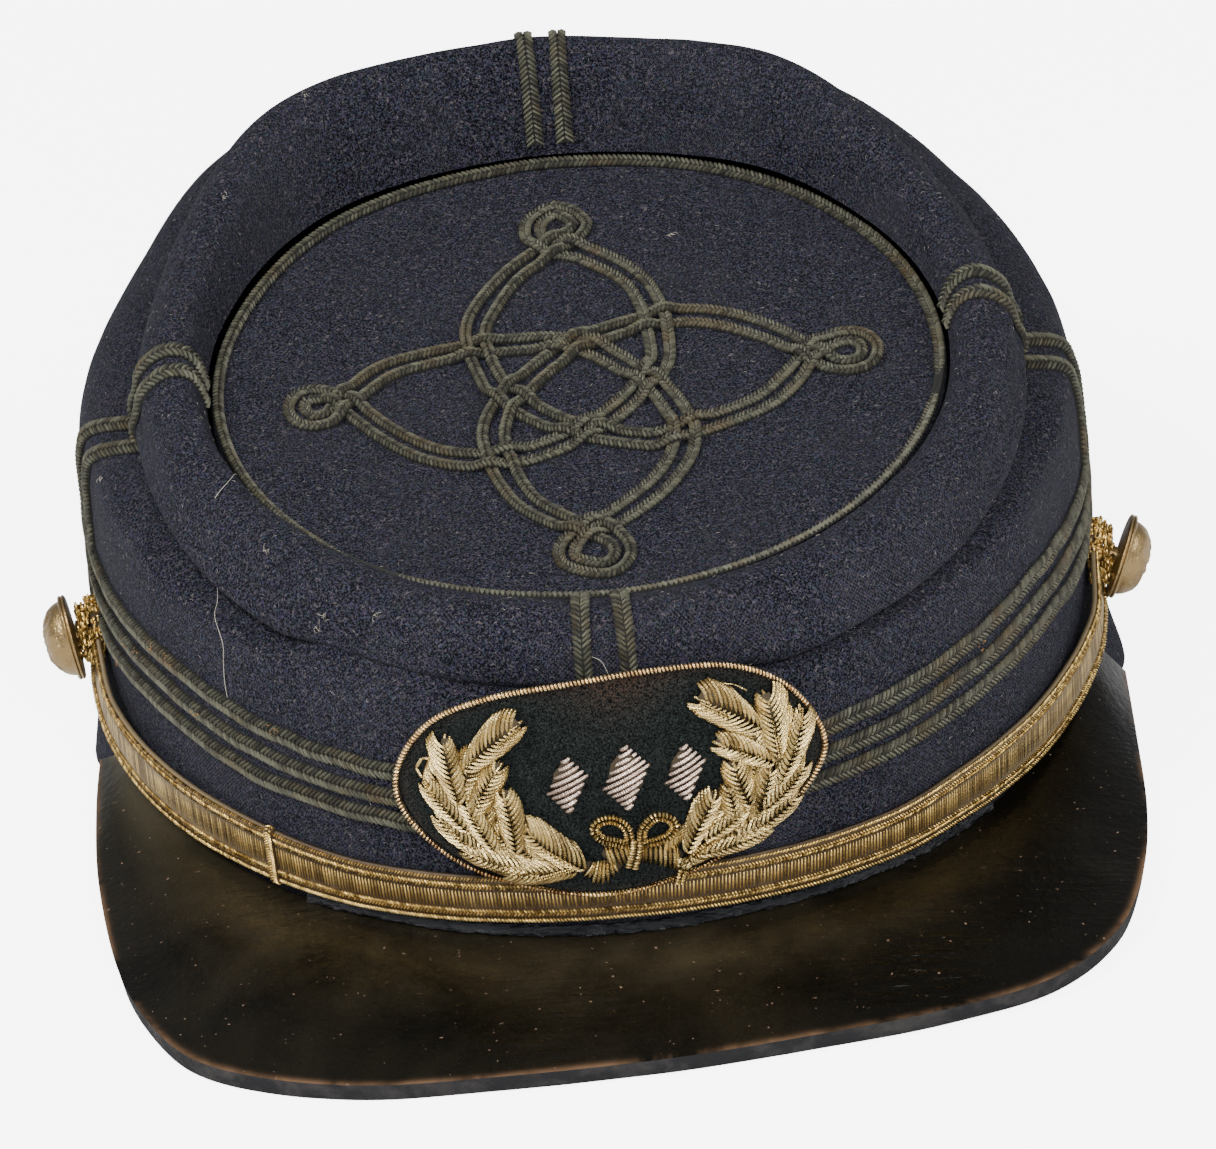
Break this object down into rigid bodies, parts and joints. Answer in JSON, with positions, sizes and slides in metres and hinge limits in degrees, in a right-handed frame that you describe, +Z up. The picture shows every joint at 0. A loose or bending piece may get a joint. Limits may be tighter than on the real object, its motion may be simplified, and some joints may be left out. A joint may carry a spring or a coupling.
{
  "type": "kepi cap",
  "caption": "Soft navy wool kepi with a padded crown roll, olive braid and knot, glossy leather visor, gold lace chin strap, brass side buttons and a velvet wreath badge.",
  "frame": {"origin": "on the ground under the middle of the bounding box of cap and visor", "axes": "+Z up; the visor points to -Y, so +Y runs to the back of the cap; +X is the side at the right of the picture"},
  "size_m": [0.1836, 0.2294, 0.0995],
  "materials": {
    "wool": "matt napped wool cloth",
    "braid": "woven flat braid with two ridges",
    "leather": "glossy, creased and worn at the edge",
    "lace": "woven metallic lace",
    "brass": "pale, lightly worn",
    "velvet": "black velvet",
    "bullion": "coiled metallic thread",
    "wire": "twisted copper-gold wire"
  },
  "bodies": {
    "root": {"band": "wool", "side_panel": "wool", "crown_roll": "wool", "crown_disc": "wool", "band_braid_top": "braid", "band_braid_middle": "braid", "band_braid_bottom": "braid", "disc_braid": "braid", "knot": "braid", "panel_braid_right_1": "braid", "panel_braid_right_2": "braid", "panel_braid_back_1": "braid", "panel_braid_back_2": "braid", "panel_braid_left_1": "braid", "panel_braid_left_2": "braid", "roll_braid_front_1": "braid", "roll_braid_front_2": "braid", "roll_braid_right_1": "braid", "roll_braid_right_2": "braid", "roll_braid_back_1": "braid", "roll_braid_back_2": "braid", "roll_braid_left_1": "braid", "roll_braid_left_2": "braid", "visor": "leather", "visor_welt": "leather", "chin_strap": "lace", "strap_keeper": "lace", "strap_tab_left": "lace", "strap_tab_right": "lace", "button_left": "brass", "button_right": "brass", "badge_patch": "velvet", "wreath_left": "bullion", "wreath_right": "bullion", "wreath_bow": "bullion", "badge_border": "wire", "badge_lozenge_left": "wire", "badge_lozenge_middle": "wire", "badge_lozenge_right": "wire"}
  },
  "joints": []
}
